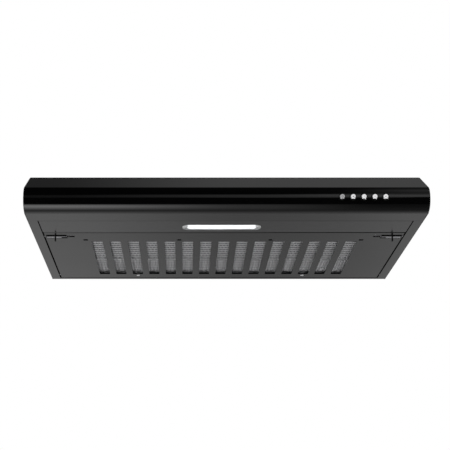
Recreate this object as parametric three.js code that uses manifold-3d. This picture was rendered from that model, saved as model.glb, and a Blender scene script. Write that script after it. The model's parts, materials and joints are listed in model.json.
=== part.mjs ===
// An under-cabinet cooker hood: a folded sheet steel canopy with a bull-nosed front, a light panel,
// a hinged slotted grille that carries the grease filter, and a centrifugal blower that blows up
// through a round duct collar. Millimetres, +Z up, front towards -Y. The origin is the centre of the
// top face, which lies against the underside of the cabinet.
import * as THREE from "three";
import { mergeVertices } from "three/addons/utils/BufferGeometryUtils.js";
import Module from "manifold-3d";

const wasm = await Module();
wasm.setup();

// Driving dimensions of the canopy.
const WIDTH = 600;
const DEPTH = 480;
const HEIGHT = 74;
const SHEET = 1;
const GAP = 0.3;
const BEND = 1.5;
const RIM = 15;

// Where the canopy's faces lie.
const SIDE = WIDTH / 2;
const NOSE = -DEPTH / 2;
const BACK = DEPTH / 2;
const UNDERSIDE = -HEIGHT;
const FLOOR = UNDERSIDE + SHEET;

// The bull nose: two arcs of one radius, joined by a short upright.
const NOSE_RADIUS = 18;
const LOWER_TURN = 72;
const UPPER_TURN = 63.5;
const LOWER_CENTRE = UNDERSIDE + 20;
const UPPER_CENTRE = UNDERSIDE + 21.5;

// The strips of the underside, from front to back.
const FASCIA_END = -177;
const LIGHT_FRONT = -176.5;
const LIGHT_BACK = -105.3;
const GRILLE_FRONT = -102.5;
const GRILLE_BACK = 227;
const REAR_RIM = 229;
const GRILLE_HALF = 282.5;
const LIGHT_PANEL_GAP = 1.7;
const FLANGE = 10;

// The grille's slots.
const SLOTS = 15;
const SLOT_PITCH = 29.2;
const SLOT_WIDTH = 17.8;
const SLOT_MIDDLE = 1.5;
const SLOT_FRONT = -45;
const SLOT_BACK = 197.5;

// The filter pad, and the clips behind it.
const FILTER_HALF = 222;
const FILTER_FRONT = -49.5;
const FILTER_BACK = 202;
const FILTER_LOW = -70.6;
const FILTER_HIGH = -62.6;
const ROD_Y = 92;
const ROD_RADIUS = 0.9;
const CLIP_SLOTS = [-5, 5];
const CLIP_FRONT = 203.5;
const CLIP_BACK = 213.5;
const CLIP_HALF = 2.8;
const TAB_FRONT = -60;
const TAB_BACK = -52;

// The grille's hinge line and its latches.
const HINGE_Y = 222;
const HINGE_Z = -68;
const LATCH_Y = -76;
const LATCH_STEM_Z = -70.2;

// The lamp, a little left of the middle.
const LAMP_X = -5;
const LAMP_Y = -136;
const LENS_LONG = 121;
const LENS_WIDE = 31;
const LENS_CORNER = 10;
const LAMP_SCREW_REACH = 55.8;
const DIFFUSER_LONG = 104.8;
const DIFFUSER_WIDE = 26;
const LENS_FLOOR = UNDERSIDE + 0.7;
const LAMP_SCREW_HEAD = 2.5;
const LAMP_SCREW_SEAT = UNDERSIDE + 2;

// The push buttons, in one row on the nose.
const BUTTON_NAMES = ["button_light", "button_off", "button_low", "button_medium", "button_high"];
const BUTTON_FIRST = 170;
const BUTTON_PITCH = 16;
const BUTTON_RADIUS = 4;
const BUTTON_PROUD = 2.5;
const BUTTON_Z = -54;

// The blower and the outlet above it.
const IMPELLER_X = -54;
const IMPELLER_Y = 5;
const IMPELLER_RADIUS = 75;
const BLADE_INNER = 61;
const BLADES = 24;
const TONGUE = 75;
const SPIRAL_START = 84;
const SPIRAL_GROWTH = 0.12;
const HOUSING_LOW = -55;
const HOUSING_HIGH = -8;
const WALL = 2;
const DUCT_Y = 150;
const DUCT_RADIUS = 60;
const DUCT_RISE = 45;
const CHAMBER_RADIUS = 64;
const FLAP_PIN_Z = 5.5;
const FLAP_RADIUS = 56.5;

// The wiring box on the right, and the cable's way into it.
const BOX = { left: 112, right: 190, front: 160, back: 222, low: -34, high: -4 };
const GLAND_X = 150;
const GLAND_Y = 192;

const AXES = {
  x: new THREE.Vector3(1, 0, 0),
  y: new THREE.Vector3(0, 1, 0),
  z: new THREE.Vector3(0, 0, 1),
};

const FINISHES = {
  paint: { color: 0x0b0b0d, roughness: 0.3, metalness: 0.1 },
  zinc: { color: 0xb8babd, roughness: 0.4, metalness: 1 },
  aluminium: { color: 0xa6a8aa, roughness: 0.45, metalness: 1 },
  chrome: { color: 0xd8dadc, roughness: 0.15, metalness: 1 },
  blackPlastic: { color: 0x111113, roughness: 0.5, metalness: 0 },
  greyPlastic: { color: 0x8b8d90, roughness: 0.6, metalness: 0 },
  whitePlastic: { color: 0xe8e8e6, roughness: 0.5, metalness: 0 },
  clear: { color: 0xf2f4f5, roughness: 0.1, metalness: 0 },
  board: { color: 0xf4f4f2, roughness: 0.5, metalness: 0 },
  wire: { color: 0x2a2a2c, roughness: 0.6, metalness: 0 },
};

// ---- Solids: closed meshes that can be joined and cut ----

function toSolid(geometry) {
  const bare = new THREE.BufferGeometry();
  const loose = geometry.index ? geometry.toNonIndexed() : geometry;
  bare.setAttribute("position", loose.getAttribute("position"));
  const merged = mergeVertices(bare, 1e-4);
  const corners = merged.index.array;
  const triVerts = [];
  for (let i = 0; i < corners.length; i += 3) {
    const [a, b, c] = corners.slice(i, i + 3);
    if (a !== b && b !== c && c !== a) triVerts.push(a, b, c);
  }
  const vertProperties = merged.attributes.position.array;
  const mesh = new wasm.Mesh({ numProp: 3, vertProperties, triVerts: new Uint32Array(triVerts) });
  return new wasm.Manifold(mesh);
}

function toGeometry(solid) {
  const { vertProperties, triVerts } = solid.getMesh();
  const geometry = new THREE.BufferGeometry();
  geometry.setAttribute("position", new THREE.BufferAttribute(vertProperties, 3));
  geometry.setIndex(new THREE.BufferAttribute(triVerts, 1));
  geometry.computeVertexNormals();
  return geometry;
}

function join(...solids) {
  return solids.reduce((whole, solid) => whole.add(solid));
}

function cut(solid, ...tools) {
  return tools.reduce((rest, tool) => rest.subtract(tool), solid);
}

// A block between two corners, given in any order.
function block(x0, x1, y0, y1, z0, z1) {
  const size = [x1 - x0, y1 - y0, z1 - z0].map(Math.abs);
  const geometry = new THREE.BoxGeometry(...size);
  geometry.translate((x0 + x1) / 2, (y0 + y1) / 2, (z0 + z1) / 2);
  return toSolid(geometry);
}

// A round bar along one axis, from one place on it to another, through a given centre.
function bar(axis, radius, from, to, [x, y, z], sides = 16) {
  const geometry = new THREE.CylinderGeometry(radius, radius, Math.abs(to - from), sides);
  if (axis === "x") geometry.rotateZ(-Math.PI / 2);
  if (axis === "z") geometry.rotateX(Math.PI / 2);
  const centre = new THREE.Vector3(x, y, z);
  centre[axis] = (from + to) / 2;
  geometry.translate(centre.x, centre.y, centre.z);
  return toSolid(geometry);
}

function shapeOf(outline, holes = []) {
  const shape = new THREE.Shape(outline.map(([a, b]) => new THREE.Vector2(a, b)));
  for (const hole of holes) {
    shape.holes.push(new THREE.Path(hole.map(([a, b]) => new THREE.Vector2(a, b))));
  }
  return shape;
}

// A (y, z) outline drawn out along X.
function alongX(outline, x0, x1) {
  const options = { depth: x1 - x0, bevelEnabled: false };
  const geometry = new THREE.ExtrudeGeometry(shapeOf(outline), options);
  geometry.applyMatrix4(new THREE.Matrix4().makeBasis(AXES.y, AXES.z, AXES.x));
  geometry.translate(x0, 0, 0);
  return toSolid(geometry);
}

// An (x, y) outline drawn out along Z.
function upwards(outline, z0, z1, holes = []) {
  const options = { depth: z1 - z0, bevelEnabled: false };
  const geometry = new THREE.ExtrudeGeometry(shapeOf(outline, holes), options);
  geometry.translate(0, 0, z0);
  return toSolid(geometry);
}

// A (radius, z) profile turned round Z.
function turned(profile, sides = 36) {
  const points = profile.map(([radius, z]) => new THREE.Vector2(radius, z));
  const geometry = new THREE.LatheGeometry(points, sides);
  geometry.rotateX(Math.PI / 2);
  return toSolid(geometry);
}

// A round wire of a given thickness along a smooth route.
function wire(route, thickness, steps, sides = 6) {
  const curve = new THREE.CatmullRomCurve3(route.map((point) => new THREE.Vector3(...point)));
  return alongRoute(curve, thickness, steps, sides);
}

function alongRoute(curve, thickness, steps, sides) {
  const section = arc([0, 0], thickness / 2, 0, 360 - 360 / sides, sides - 1);
  const options = { steps, bevelEnabled: false, extrudePath: curve };
  return toSolid(new THREE.ExtrudeGeometry(shapeOf(section), options));
}

// A point at some angle, in degrees, round a centre.
function around([centreA, centreB], radius, degrees) {
  const angle = THREE.MathUtils.degToRad(degrees);
  return [centreA + radius * Math.cos(angle), centreB + radius * Math.sin(angle)];
}

// Points on an arc, counter-clockwise when the second angle is the larger.
function arc(centre, radius, from, to, steps) {
  const points = [];
  for (let i = 0; i <= steps; i++) {
    points.push(around(centre, radius, from + ((to - from) * i) / steps));
  }
  return points;
}

function circle(centre, radius, sides = 36) {
  return arc(centre, radius, 0, 360 - 360 / sides, sides - 1);
}

function roundedRectangle([a, b], long, wide, corner, steps = 4) {
  const halfA = long / 2 - corner;
  const halfB = wide / 2 - corner;
  return [
    ...arc([a + halfA, b + halfB], corner, 0, 90, steps),
    ...arc([a - halfA, b + halfB], corner, 90, 180, steps),
    ...arc([a - halfA, b - halfB], corner, 180, 270, steps),
    ...arc([a + halfA, b - halfB], corner, 270, 360, steps),
  ];
}

// The same line moved sideways: a positive distance moves it to its left.
function offset(points, distance, closed = false) {
  const last = points.length - 1;
  return points.map((point, i) => {
    const before = i > 0 ? points[i - 1] : closed ? points[last] : null;
    const after = i < last ? points[i + 1] : closed ? points[0] : null;
    const arriving = before && new THREE.Vector2(point[0] - before[0], point[1] - before[1]);
    const leaving = after && new THREE.Vector2(after[0] - point[0], after[1] - point[1]);
    const one = (arriving || leaving).clone().normalize();
    const two = (leaving || arriving).clone().normalize();
    const left = new THREE.Vector2(-one.y - two.y, one.x + two.x);
    left.multiplyScalar(distance / (1 + one.dot(two)));
    return [point[0] + left.x, point[1] + left.y];
  });
}

// A line with each inner corner turned into a bend.
function withBends(points, radius = BEND, steps = 3) {
  const line = [points[0]];
  for (let i = 1; i < points.length - 1; i++) {
    const corner = new THREE.Vector2(...points[i]);
    const back = new THREE.Vector2(...points[i - 1]).sub(corner).normalize();
    const ahead = new THREE.Vector2(...points[i + 1]).sub(corner).normalize();
    const half = back.angleTo(ahead) / 2;
    const way = Math.sign(ahead.cross(back));
    const reach = radius / Math.tan(half);
    const centre = back.clone().add(ahead).normalize().multiplyScalar(radius / Math.sin(half));
    const start = back.multiplyScalar(reach).sub(centre);
    const sweep = Math.PI - 2 * half;
    for (let step = 0; step <= steps; step++) {
      const spoke = start.clone().rotateAround(new THREE.Vector2(), (way * sweep * step) / steps);
      line.push([corner.x + centre.x + spoke.x, corner.y + centre.y + spoke.y]);
    }
  }
  line.push(points[points.length - 1]);
  return line;
}

// The outline of a folded sheet whose outer face follows the line, with the inside on its left.
function sheetOutline(line, thickness = SHEET) {
  return [...line, ...offset(line, thickness).reverse()];
}

// ---- The canopy ----

// The (y, z) line of the front, from the top edge down round the nose to the underside.
function noseLine() {
  const centreY = NOSE + NOSE_RADIUS;
  const upper = arc([centreY, UPPER_CENTRE], NOSE_RADIUS, 180 - UPPER_TURN, 180, 11);
  const lower = arc([centreY, LOWER_CENTRE], NOSE_RADIUS, 180, 180 + LOWER_TURN, 12);
  return [...upper, ...lower];
}

function slopeY(z) {
  const [y, nearZ] = noseLine()[0];
  return y + (z - nearZ) * Math.tan(THREE.MathUtils.degToRad(UPPER_TURN));
}

// Where the incline under the nose runs into the flat underside.
function undersideStart() {
  const [y, z] = noseLine().at(-1);
  return y + (z - UNDERSIDE) * Math.tan(THREE.MathUtils.degToRad(LOWER_TURN));
}

function keyhole(x, y) {
  const head = bar("z", 5, -SHEET - 1, 1, [x, y, 0], 12);
  const neck = block(x - 2.5, x + 2.5, y, y + 12, -SHEET - 1, 1);
  return join(head, neck);
}

function topShell() {
  const line = withBends([
    [REAR_RIM, UNDERSIDE],
    [BACK, UNDERSIDE],
    [BACK, 0],
    [slopeY(0) - 0.5, 0],
  ]);
  const shell = alongX(sheetOutline(line), -SIDE + SHEET + GAP, SIDE - SHEET - GAP);
  const ductHole = bar("z", DUCT_RADIUS + 0.6, -SHEET - 1, 1, [0, DUCT_Y, 0], 36);
  const cableHole = bar("z", 8, -SHEET - 1, 1, [GLAND_X, GLAND_Y, 0]);
  const keyholes = [-1, 1].flatMap((side) => [keyhole(side * 250, -110), keyhole(side * 250, 180)]);
  return cut(shell, ductHole, cableHole, ...keyholes);
}

function frontFascia() {
  const top = -SHEET - GAP;
  const line = withBends([[-138, top], [slopeY(top), top], noseLine()[0]], BEND, 2).slice(0, -1);
  const outline = sheetOutline([
    ...line,
    ...noseLine(),
    [undersideStart(), UNDERSIDE],
    [FASCIA_END, UNDERSIDE],
  ]);
  const fascia = alongX(outline, -SIDE + SHEET + GAP, SIDE - SHEET - GAP);
  const holes = BUTTON_NAMES.map((_, i) => {
    return bar("y", BUTTON_RADIUS + 0.5, NOSE - 2, NOSE + 6, [buttonX(i), 0, BUTTON_Z]);
  });
  return cut(fascia, ...holes);
}

function sidePanel(side) {
  const profile = [
    [slopeY(0), 0],
    ...noseLine(),
    [undersideStart(), UNDERSIDE],
    [BACK, UNDERSIDE],
    [BACK, 0],
  ];
  const inner = SIDE - SHEET;
  const plate = side > 0 ? alongX(profile, inner, SIDE) : alongX(profile, -SIDE, -inner);
  const rimStart = FASCIA_END + GAP;
  const rimEnd = REAR_RIM - GAP;
  const rim = block(side * (SIDE - RIM), side * (inner + 0.5), rimStart, rimEnd, UNDERSIDE, FLOOR);
  const hemTop = -SHEET - GAP;
  const hem = block(side * (SIDE - RIM), side * (inner + 0.5), -136, 236, hemTop - SHEET, hemTop);
  return join(plate, rim, hem);
}

// ---- The light panel and its lamp ----

function lightPanel() {
  const half = SIDE - RIM - LIGHT_PANEL_GAP;
  const rise = UNDERSIDE + 12;
  const line = withBends([
    [LIGHT_FRONT, rise],
    [LIGHT_FRONT, UNDERSIDE],
    [LIGHT_BACK, UNDERSIDE],
    [LIGHT_BACK, rise],
  ]);
  const channel = alongX(sheetOutline(line), -half, half);
  const ears = [-1, 1].map((side) => {
    const outer = side * (SIDE - SHEET - 0.5);
    return block(side * (half - 12), outer, LIGHT_FRONT, LIGHT_BACK, rise - SHEET, rise);
  });
  const window = roundedRectangle([LAMP_X, LAMP_Y], LENS_LONG, LENS_WIDE, LENS_CORNER);
  return cut(join(channel, ...ears), upwards(window, UNDERSIDE - 1, FLOOR + 1));
}

function lightLens() {
  const inset = 2 * GAP;
  const centre = [LAMP_X, LAMP_Y];
  const long = LENS_LONG - inset;
  const wide = LENS_WIDE - inset;
  const lens = roundedRectangle(centre, long, wide, LENS_CORNER - GAP);
  const flange = roundedRectangle(centre, LENS_LONG + 7, LENS_WIDE + 7, LENS_CORNER);
  const seat = FLOOR + GAP;
  const top = seat + 1.5;
  const pocket = roundedRectangle(centre, DIFFUSER_LONG + inset, DIFFUSER_WIDE + inset, 4, 3);
  const holes = [-1, 1].flatMap((side) => {
    const middle = [lampScrewX(side), LAMP_Y, 0];
    return [
      bar("z", LAMP_SCREW_HEAD + GAP, UNDERSIDE - 1, LAMP_SCREW_SEAT, middle, 16),
      bar("z", 1.6, UNDERSIDE, top + 1, middle, 10),
    ];
  });
  const whole = join(upwards(lens, UNDERSIDE, seat + 1), upwards(flange, seat, top));
  return cut(whole, upwards(pocket, LENS_FLOOR, top + 1), ...holes);
}

function lightDiffuser() {
  const outline = roundedRectangle([LAMP_X, LAMP_Y], DIFFUSER_LONG, DIFFUSER_WIDE, 4, 3);
  return upwards(outline, LENS_FLOOR + GAP, LENS_FLOOR + GAP + 1.5);
}

function lampScrewX(side) {
  return LAMP_X + side * LAMP_SCREW_REACH;
}

// A reflector tray, open downwards, with a boss at each end for its screw.
function lightHousing() {
  const outer = roundedRectangle([LAMP_X, LAMP_Y], 128, 38, 8);
  const inner = roundedRectangle([LAMP_X, LAMP_Y], 125.6, 35.6, 6.8);
  const tray = cut(upwards(outer, -70.9, -54), upwards(inner, -72, -55.2));
  const bosses = [-1, 1].map((side) => {
    return bar("z", 3, -68.6, -54.6, [lampScrewX(side), LAMP_Y, 0]);
  });
  const holes = [-1, 1].map((side) => {
    return bar("z", 1.5, -69.6, -59.5, [lampScrewX(side), LAMP_Y, 0], 12);
  });
  return cut(join(tray, ...bosses), ...holes);
}

function ledBoard() {
  return block(LAMP_X - 50, LAMP_X + 50, LAMP_Y - 10, LAMP_Y + 10, -57.2, -55.6);
}

// A pan-head screw, drawn with its head at the origin and its shank upwards.
function panScrew(headRadius, headHeight, shankRadius, length) {
  const dome = arc([0, headHeight], headRadius, 270, 360, 4).map(([radius, z]) => {
    return [radius, headHeight + (z - headHeight) * (headHeight / headRadius)];
  });
  return turned([...dome, [shankRadius, headHeight], [shankRadius, length], [0, length]], 12);
}

// ---- The grille and what it carries ----

function slotX(i) {
  return SLOT_MIDDLE + i * SLOT_PITCH;
}

const FRONT_TAB_XS = [-220, -70.5, 75.5, 220];

function grillePanel() {
  const rise = UNDERSIDE + FLANGE;
  const line = withBends([
    [GRILLE_FRONT, rise],
    [GRILLE_FRONT, UNDERSIDE],
    [GRILLE_BACK, UNDERSIDE],
    [GRILLE_BACK, rise],
  ]);
  const channel = alongX(sheetOutline(line), -GRILLE_HALF, GRILLE_HALF);
  const flanges = [-1, 1].map((side) => {
    const outer = side * GRILLE_HALF;
    const ends = [GRILLE_FRONT + BEND, GRILLE_BACK - BEND];
    return block(outer, outer - side * SHEET, ...ends, UNDERSIDE, rise);
  });
  const tabs = FRONT_TAB_XS.flatMap((x) => [
    block(x - 3, x + 3, TAB_BACK, TAB_BACK + SHEET, UNDERSIDE + 0.5, FILTER_HIGH + 1.5),
    block(x - 3, x + 3, TAB_BACK, FILTER_FRONT + 6, FILTER_HIGH + 0.5, FILTER_HIGH + 1.5),
  ]);
  const low = UNDERSIDE - 1;
  const high = FLOOR + 0.2;
  const slots = [];
  for (let i = -(SLOTS - 1) / 2; i <= (SLOTS - 1) / 2; i++) {
    const x = slotX(i);
    slots.push(block(x - SLOT_WIDTH / 2, x + SLOT_WIDTH / 2, SLOT_FRONT, SLOT_BACK, low, high));
  }
  const tabHoles = FRONT_TAB_XS.map((x) => block(x - 3.5, x + 3.5, TAB_FRONT, TAB_BACK, low, high));
  const clipHoles = CLIP_SLOTS.map((i) => {
    const reach = CLIP_HALF + 0.4;
    return block(slotX(i) - reach, slotX(i) + reach, CLIP_FRONT, CLIP_BACK, low, high);
  });
  const latchHoles = [-1, 1].flatMap((side) => [
    block(side * 280.8, side * 248, -90, LATCH_Y + 9, low, high),
    block(side * 249, side * 236, -84, -75, low, high),
    block(side * 280, side * 284, LATCH_Y - 4.6, LATCH_Y + 6, FLOOR - 0.2, -70.8),
    bar("x", 2.8, side * 280, side * 284, [0, HINGE_Y, HINGE_Z]),
  ]);
  const folded = join(channel, ...flanges, ...tabs);
  return cut(folded, ...slots, ...tabHoles, ...clipHoles, ...latchHoles);
}

// The expanded-metal pad, with a folded frame round its edge.
function filterPad() {
  const inset = 1.8;
  return block(
    -FILTER_HALF + inset,
    FILTER_HALF - inset,
    FILTER_FRONT + inset,
    FILTER_BACK - inset,
    FILTER_LOW + 0.9,
    FILTER_LOW + 3.9,
  );
}

function filterFrame() {
  const lip = 7;
  const whole = block(
    -FILTER_HALF, FILTER_HALF, FILTER_FRONT, FILTER_BACK, FILTER_LOW, FILTER_HIGH,
  );
  const opening = block(
    -FILTER_HALF + lip, FILTER_HALF - lip, FILTER_FRONT + lip, FILTER_BACK - lip, -80, -50,
  );
  const groove = block(
    -FILTER_HALF + 0.8,
    FILTER_HALF - 0.8,
    FILTER_FRONT + 0.8,
    FILTER_BACK - 0.8,
    FILTER_LOW + 0.7,
    FILTER_HIGH - 0.7,
  );
  return cut(whole, opening, groove);
}

function filterClip(x) {
  const back = CLIP_BACK - 0.6;
  const top = FILTER_HIGH + 1.5;
  const sides = [x - CLIP_HALF, x + CLIP_HALF];
  const post = block(...sides, CLIP_FRONT + 1, back, UNDERSIDE, top);
  const arm = block(...sides, FILTER_BACK - 6, back, top - 1, top);
  return join(post, arm);
}

// The latch's flat bolt, with the stem that its spring sits on.
function latchBolt(side) {
  const plate = block(side * 284.4, side * 249, LATCH_Y - 4, LATCH_Y + 5.5, -72.7, -71.2);
  const front = LATCH_Y - 1.5;
  const face = block(side * 280.3, side * 257.5, front, LATCH_Y + 5.5, -73.7, -72.5);
  const lip = block(side * 280.3, side * 257.5, front, LATCH_Y + 8.6, -73.7, -72.85);
  const tail = block(side * 258, side * 249.3, front, LATCH_Y + 0.6, -73.7, -72.5);
  const seat = block(side * 251, side * 249, LATCH_Y - 3, LATCH_Y + 3, -71.7, -68);
  const stem = bar("x", 1.2, side * 250, side * 226.5, [0, LATCH_Y, LATCH_STEM_Z], 10);
  const slit = block(side * 263.6, side * 268.4, LATCH_Y - 5, LATCH_Y - 1.6, -74, -70);
  return cut(join(plate, face, lip, tail, seat, stem), slit);
}

// The thumb tab: a thin fin below the grille, on a foot that lies on the bolt.
function latchTab(side) {
  const fin = block(side * 265, side * 267, -84, LATCH_Y - 2, -82.5, -69.9);
  const foot = block(side * 262, side * 270, -84, LATCH_Y + 3, -70.9, -69.4);
  return join(fin, foot);
}

function latchGuide(side) {
  const inner = side * 229;
  const outer = side * 280.5;
  const back = LATCH_Y + 7.5;
  const top = block(inner, outer, LATCH_Y - 9, back, -67.5, -66.5);
  const wall = block(inner, outer, back - SHEET, back, -72.7, -66.5);
  const foot = block(inner, outer, back - SHEET, back + 6.5, -72.7, -71.7);
  const end = block(inner, inner + side * 1.5, LATCH_Y - 5.5, back, -72.7, -66.5);
  const hole = bar("x", 1.7, side * 228, side * 231, [0, LATCH_Y, LATCH_STEM_Z], 10);
  return cut(join(top, wall, foot, end), hole);
}

class Helix extends THREE.Curve {
  constructor(radius, length, coils) {
    super();
    Object.assign(this, { radius, length, coils });
  }

  getPoint(t, target = new THREE.Vector3()) {
    const angle = 2 * Math.PI * this.coils * t;
    const y = this.radius * Math.cos(angle);
    const z = this.radius * Math.sin(angle);
    return target.set(this.length * t, y, z);
  }
}

// Drawn along X from the origin, then put on the stem.
function latchSpring() {
  return alongRoute(new Helix(2, 16.6, 5), 0.6, 45, 5);
}

function hingePin(side) {
  const head = bar("x", 4, side * 279, side * 281.2, [0, HINGE_Y, HINGE_Z]);
  const shank = bar("x", 2.5, side * 280.5, side * 293, [0, HINGE_Y, HINGE_Z]);
  return join(head, shank);
}

function hingeBracket(side) {
  const ear = block(side * 287, side * 289, 212, 232, -71.5, -58);
  const shelf = block(side * 288, side * 298.6, 212, 232, -59, -58);
  const foot = block(side * 297.6, side * 298.6, 212, 232, -59, -34);
  const hole = bar("x", 2.8, side * 286, side * 290, [0, HINGE_Y, HINGE_Z]);
  return cut(join(ear, shelf, foot), hole);
}

// ---- The blower ----

// The inside of the scroll: a spiral from the tongue, a straight wall, and a round outlet chamber.
function scrollLine() {
  const spiral = [];
  const steps = 26;
  for (let i = 0; i <= steps; i++) {
    const turn = ((360 - TONGUE) * i) / steps;
    const radius = SPIRAL_START + SPIRAL_GROWTH * turn;
    spiral.push(around([IMPELLER_X, IMPELLER_Y], radius, TONGUE + turn));
  }
  return [...spiral, ...arc([0, DUCT_Y], CHAMBER_RADIUS, 0, 180, 16)];
}

function blowerHousing() {
  const inside = scrollLine();
  const outside = offset(inside, -WALL, true);
  const neckRadius = DUCT_RADIUS + 1;
  const shell = cut(
    upwards(outside, HOUSING_LOW, HOUSING_HIGH),
    upwards(inside, HOUSING_LOW - 1, HOUSING_HIGH - WALL),
  );
  const neck = bar("z", neckRadius + WALL, HOUSING_HIGH - 1, -3.7, [0, DUCT_Y, 0], 36);
  const posts = [[-130, -20], [-54, -90], [46, -20]].map(([x, y]) => {
    return bar("z", 6, HOUSING_HIGH - 1, -SHEET - 0.4, [x, y, 0], 12);
  });
  const outlet = bar("z", neckRadius, HOUSING_HIGH - WALL - 1, 0, [0, DUCT_Y, 0], 36);
  const motorHole = bar("z", 38.5, HOUSING_HIGH - WALL - 1, 0, [IMPELLER_X, IMPELLER_Y, 0], 32);
  return cut(join(shell, neck, ...posts), outlet, motorHole);
}

// The lower cover of the scroll, with a short inlet ring that reaches just inside the blades.
function inletPlate() {
  const ringOuter = BLADE_INNER - 1.5;
  const centre = [IMPELLER_X, IMPELLER_Y];
  const top = HOUSING_LOW - GAP;
  const holes = [circle(centre, ringOuter - 1.5)];
  const plate = upwards(offset(scrollLine(), -WALL, true), top - 1.5, top, holes);
  const ring = upwards(circle(centre, ringOuter), top - 1.5, top + 3, holes);
  return join(plate, ring);
}

// Drawn round its own axis: a back plate, a cup round the motor, the blades and a bottom ring.
function impeller() {
  const high = -12.5;
  const low = -51;
  const plate = turned([
    [3.3, -49], [8, -49], [8, -44.5], [43.5, -44.5], [43.5, high - 1.5],
    [IMPELLER_RADIUS, high - 1.5], [IMPELLER_RADIUS, high], [42, high], [42, -43], [3.3, -43],
    [3.3, -49],
  ]);
  const bottom = turned([
    [IMPELLER_RADIUS - 2.5, low], [IMPELLER_RADIUS, low], [IMPELLER_RADIUS, low + 2],
    [IMPELLER_RADIUS - 2.5, low + 2], [IMPELLER_RADIUS - 2.5, low],
  ]);
  const blades = [];
  for (let i = 0; i < BLADES; i++) {
    const length = IMPELLER_RADIUS - BLADE_INNER;
    const blade = new THREE.BoxGeometry(length, 1, high - low - 1);
    blade.rotateZ(THREE.MathUtils.degToRad(28));
    blade.translate((IMPELLER_RADIUS + BLADE_INNER) / 2 - 0.4, 0, (high + low) / 2);
    blade.rotateZ((2 * Math.PI * i) / BLADES);
    blades.push(toSolid(blade));
  }
  return join(plate, bottom, ...blades);
}

function motorBody() {
  return turned([[0, -40], [36, -40], [38, -38], [38, -7.7], [46, -7.7], [46, -5.7], [0, -5.7]], 32);
}

function motorShaft() {
  return bar("z", 3, -53.5, -40.3, [0, 0, 0], 20);
}

function impellerNut() {
  const hexagon = bar("z", 5.8, -53, -49.3, [0, 0, 0], 6);
  return cut(hexagon, bar("z", 3.3, -54, -48, [0, 0, 0]));
}

// ---- The outlet ----

function ductCollar() {
  const inner = DUCT_RADIUS - WALL;
  const flangeHigh = -SHEET - GAP;
  const collar = turned([
    [inner, flangeHigh - WALL], [DUCT_RADIUS + 12, flangeHigh - WALL],
    [DUCT_RADIUS + 12, flangeHigh], [DUCT_RADIUS, flangeHigh], [DUCT_RADIUS, DUCT_RISE],
    [inner, DUCT_RISE], [inner, 2], [inner - 3, 2], [inner - 3, 0], [inner, 0],
    [inner, flangeHigh - WALL],
  ]);
  const crossbar = block(-3, 3, -inner - 1, inner + 1, 0, 2);
  const pinHoles = bar("y", 1.8, -DUCT_RADIUS - 2, DUCT_RADIUS + 2, [0, 0, FLAP_PIN_Z]);
  return cut(join(collar, crossbar), pinHoles);
}

function flapPin() {
  return bar("y", 1.5, -DUCT_RADIUS, DUCT_RADIUS, [0, 0, 0]);
}

// One half of the butterfly valve, drawn round the pin, for the side that it lies on.
function flap(side) {
  const low = 2.3 - FLAP_PIN_Z;
  const high = low + 1.2;
  const edge = 3.8;
  const start = THREE.MathUtils.radToDeg(Math.acos(edge / FLAP_RADIUS));
  const half = arc([0, 0], FLAP_RADIUS, -start, start, 18).map(([x, y]) => [side * x, y]);
  const plate = upwards(side > 0 ? half : half.reverse(), low, high);
  const starts = side > 0 ? [-40, 5] : [-18, 27];
  const knuckles = starts.flatMap((y) => [
    bar("y", 3.2, y, y + 20, [0, 0, 0]),
    block(side * 1, side * 5, y, y + 20, low, high),
  ]);
  return cut(join(plate, ...knuckles), bar("y", 1.8, -50, 50, [0, 0, 0]));
}

// ---- Switches, wiring and electrics ----

function buttonX(i) {
  return BUTTON_FIRST + i * BUTTON_PITCH;
}

// Drawn with its face at the origin, pushing towards +Y.
function button() {
  const cap = turned([
    [0, 0], [BUTTON_RADIUS - 0.6, 0], [BUTTON_RADIUS, 0.6], [BUTTON_RADIUS, 5.4], [5.2, 5.4],
    [5.2, 7], [2.4, 7], [2.4, 20], [0, 20],
  ], 18);
  return cap.rotate([-90, 0, 0]);
}

function switchBlock() {
  const body = block(160, 244, -226, -205, -63, -45);
  const mouths = BUTTON_NAMES.map((_, i) => bar("y", 2.8, -228, -216, [buttonX(i), 0, BUTTON_Z]));
  return cut(body, ...mouths);
}

function switchBracket() {
  const base = block(152, 252, -204.6, -184, FLOOR + GAP, FLOOR + GAP + SHEET);
  const upright = block(152, 252, -204.6, -203.6, FLOOR + GAP, -45);
  return join(base, upright);
}

function terminalBox() {
  const wall = 1.6;
  const { left, right, front, back, low, high } = BOX;
  const outer = block(left, right, front, back, low, high);
  const inner = block(left + wall, right - wall, front + wall, back - wall, low - 1, high - wall);
  const glandHole = bar("z", 9, high - wall - 1, high + 1, [GLAND_X, GLAND_Y, 0]);
  const leadHoles = [
    bar("x", 3, left - 1, left + wall + 1, [0, 180, -14], 16),
    bar("y", 3, front - 1, front + wall + 1, [160, 0, -15], 16),
  ];
  return cut(outer, inner, glandHole, ...leadHoles);
}

function terminalLid() {
  const { left, right, front, back, low } = BOX;
  const centre = [(left + right) / 2, (front + back) / 2];
  const outline = roundedRectangle(centre, right - left + 3, back - front + 3, 3, 3);
  return upwards(outline, low - GAP - 1.8, low - GAP);
}

function terminalBlock() {
  const body = block(126, 176, 166, 181, -24, -6);
  const screws = [131, 141, 151, 161, 171].map((x) => bar("z", 2, -25, -20, [x, 173.5, 0], 8));
  return cut(body, ...screws);
}

function cableGland() {
  return turned([
    [3.8, -20], [7, -20], [8.6, -18.4], [8.6, -3.3], [12, -3.3], [12, -1.3], [7.6, -1.3],
    [7.6, 0], [3.8, 0], [3.8, -20],
  ], 20);
}

const CAPACITOR = { y: 125, z: -17.5, radius: 14, from: 98, to: 146 };

function capacitor() {
  const { y, z, radius, from, to } = CAPACITOR;
  return bar("x", radius, from, to, [0, y, z], 24);
}

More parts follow.
